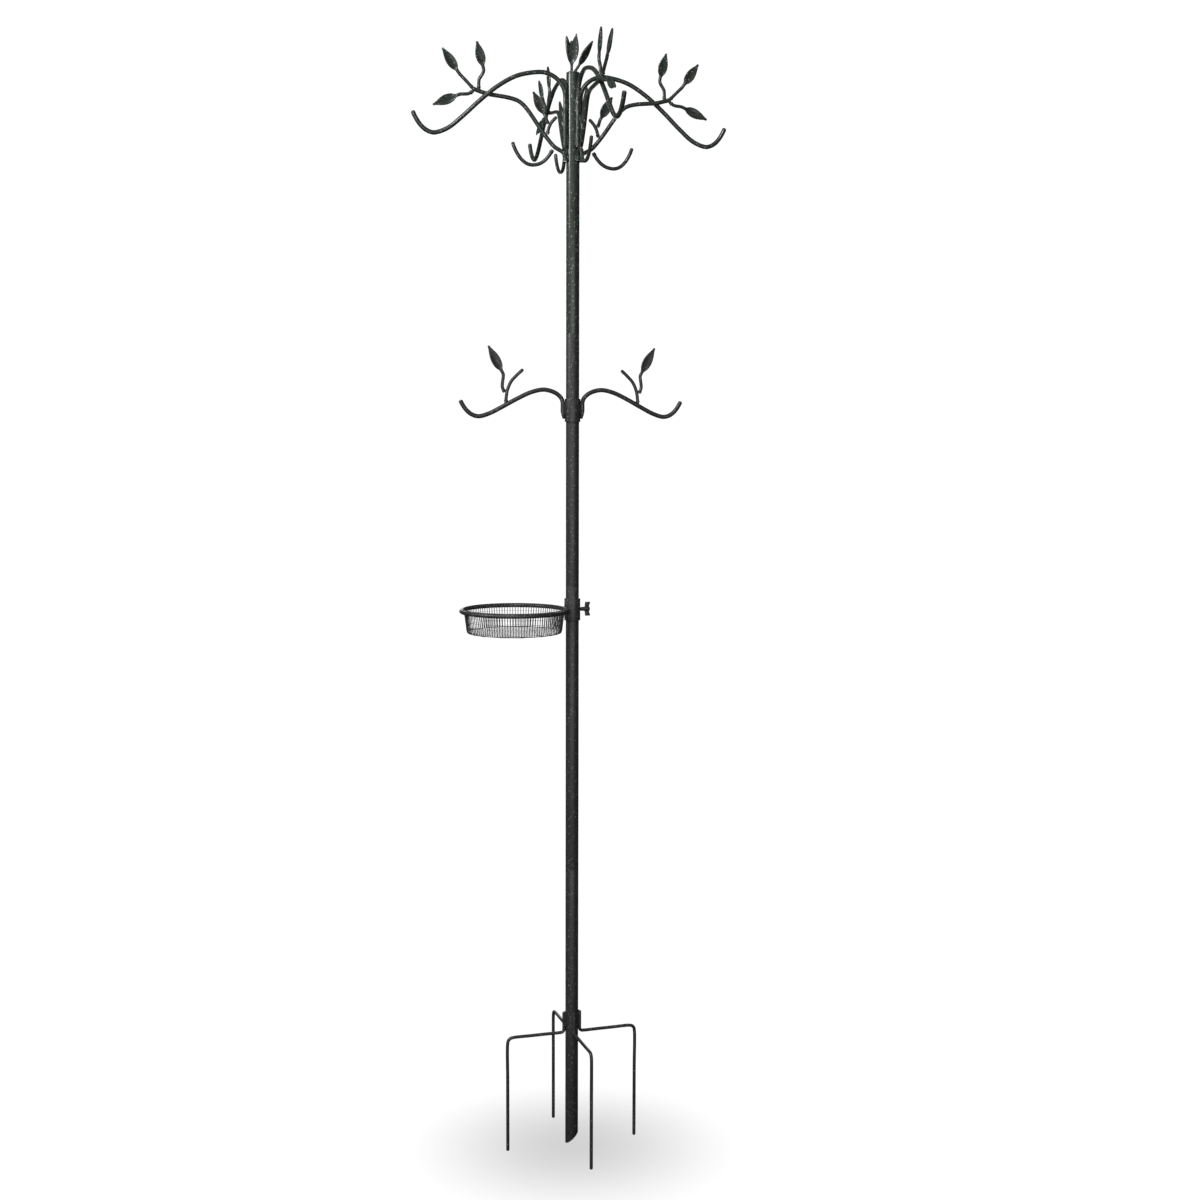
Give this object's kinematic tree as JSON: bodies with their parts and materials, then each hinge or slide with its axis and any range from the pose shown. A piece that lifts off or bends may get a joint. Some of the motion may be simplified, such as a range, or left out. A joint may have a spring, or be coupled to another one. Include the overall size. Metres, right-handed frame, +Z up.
{
  "type": "bird feeder pole",
  "caption": "Tall garden pole on a pronged stake, with S-hooks and leafy branches at the top, a clamped pair of hook arms and a clamped ring tray.",
  "frame": {"origin": "on the pole's axis, level with the tips of the ground prongs", "axes": "+Z up the pole; the canopy's arms point along +X, +Y, -X and -Y; the tray hangs out towards -X and the two middle arms lie along X"},
  "size_m": [0.6208, 0.6208, 2.1585],
  "materials": {
    "powder_coat": "dark charcoal hammered powder coat, satin, with fine light specks",
    "upper_powder_coat": "charcoal hammered powder coat with a green cast, satin, with fine light specks",
    "wire_mesh": "fine steel wire mesh with thin grey paint"
  },
  "bodies": {
    "stake": {"stake_tube": "powder_coat", "ground_prong_right": "powder_coat", "ground_prong_back": "powder_coat", "ground_prong_left": "powder_coat", "ground_prong_front": "powder_coat"},
    "lower_pole": {"lower_tube": "powder_coat"},
    "middle_pole": {"middle_tube": "powder_coat"},
    "canopy": {"canopy_tube": "upper_powder_coat", "pole_cap": "upper_powder_coat", "finial_sprig": "upper_powder_coat", "finial_side_leaf": "upper_powder_coat", "big_hook_right": "upper_powder_coat", "branch_right": "upper_powder_coat", "small_hook_right": "upper_powder_coat", "branch_twig_right": "upper_powder_coat", "twig_leaf_right": "upper_powder_coat", "leaf_up_right": "upper_powder_coat", "leaf_out_right": "upper_powder_coat", "leaf_down_right": "upper_powder_coat", "big_hook_back": "upper_powder_coat", "branch_back": "upper_powder_coat", "small_hook_back": "upper_powder_coat", "branch_twig_back": "upper_powder_coat", "twig_leaf_back": "upper_powder_coat", "leaf_up_back": "upper_powder_coat", "leaf_out_back": "upper_powder_coat", "leaf_down_back": "upper_powder_coat", "big_hook_left": "upper_powder_coat", "branch_left": "upper_powder_coat", "small_hook_left": "upper_powder_coat", "branch_twig_left": "upper_powder_coat", "twig_leaf_left": "upper_powder_coat", "leaf_up_left": "upper_powder_coat", "leaf_out_left": "upper_powder_coat", "leaf_down_left": "upper_powder_coat", "big_hook_front": "upper_powder_coat", "branch_front": "upper_powder_coat", "small_hook_front": "upper_powder_coat", "branch_twig_front": "upper_powder_coat", "twig_leaf_front": "upper_powder_coat", "leaf_up_front": "upper_powder_coat", "leaf_out_front": "upper_powder_coat", "leaf_down_front": "upper_powder_coat"},
    "arm_bracket": {"arm_collar": "powder_coat", "arm_right": "powder_coat", "arm_twig_right": "powder_coat", "arm_leaf_right": "powder_coat", "arm_left": "powder_coat", "arm_twig_left": "powder_coat", "arm_leaf_left": "powder_coat"},
    "arm_clamp_screw": {"arm_screw": "powder_coat"},
    "tray_bracket": {"tray_collar": "powder_coat", "tray_ring": "powder_coat"},
    "tray_clamp_screw": {"tray_screw": "powder_coat"},
    "basket": {"tray_basket": "wire_mesh"}
  },
  "joints": [
    {"name": "lower_swivel", "type": "hinge", "parent": "stake", "child": "lower_pole", "pos_m": [0, 0, 0.56], "axis": [0, 0, 1], "continuous": true},
    {"name": "middle_swivel", "type": "hinge", "parent": "lower_pole", "child": "middle_pole", "pos_m": [0, 0, 1.12], "axis": [0, 0, 1], "continuous": true},
    {"name": "canopy_swivel", "type": "hinge", "parent": "middle_pole", "child": "canopy", "pos_m": [0, 0, 1.6], "axis": [0, 0, 1], "continuous": true},
    {"name": "arm_height", "type": "slide", "parent": "middle_pole", "child": "arm_bracket", "axis": [0, 0, 1], "range_m": [-0.2, 0.3]},
    {"name": "arm_screw_turn", "type": "hinge", "parent": "arm_bracket", "child": "arm_clamp_screw", "pos_m": [0, 0.025, 1.456], "axis": [0, 1, 0], "range_deg": [0, 1080]},
    {"name": "tray_height", "type": "slide", "parent": "lower_pole", "child": "tray_bracket", "axis": [0, 0, 1], "range_m": [-0.47, 0.1]},
    {"name": "tray_screw_turn", "type": "hinge", "parent": "tray_bracket", "child": "tray_clamp_screw", "pos_m": [0.025, 0, 1.07325], "axis": [1, 0, 0], "range_deg": [0, 1080]},
    {"name": "basket_lift", "type": "slide", "parent": "tray_bracket", "child": "basket", "axis": [0, 0, 1], "range_m": [0, 0.12]}
  ]
}
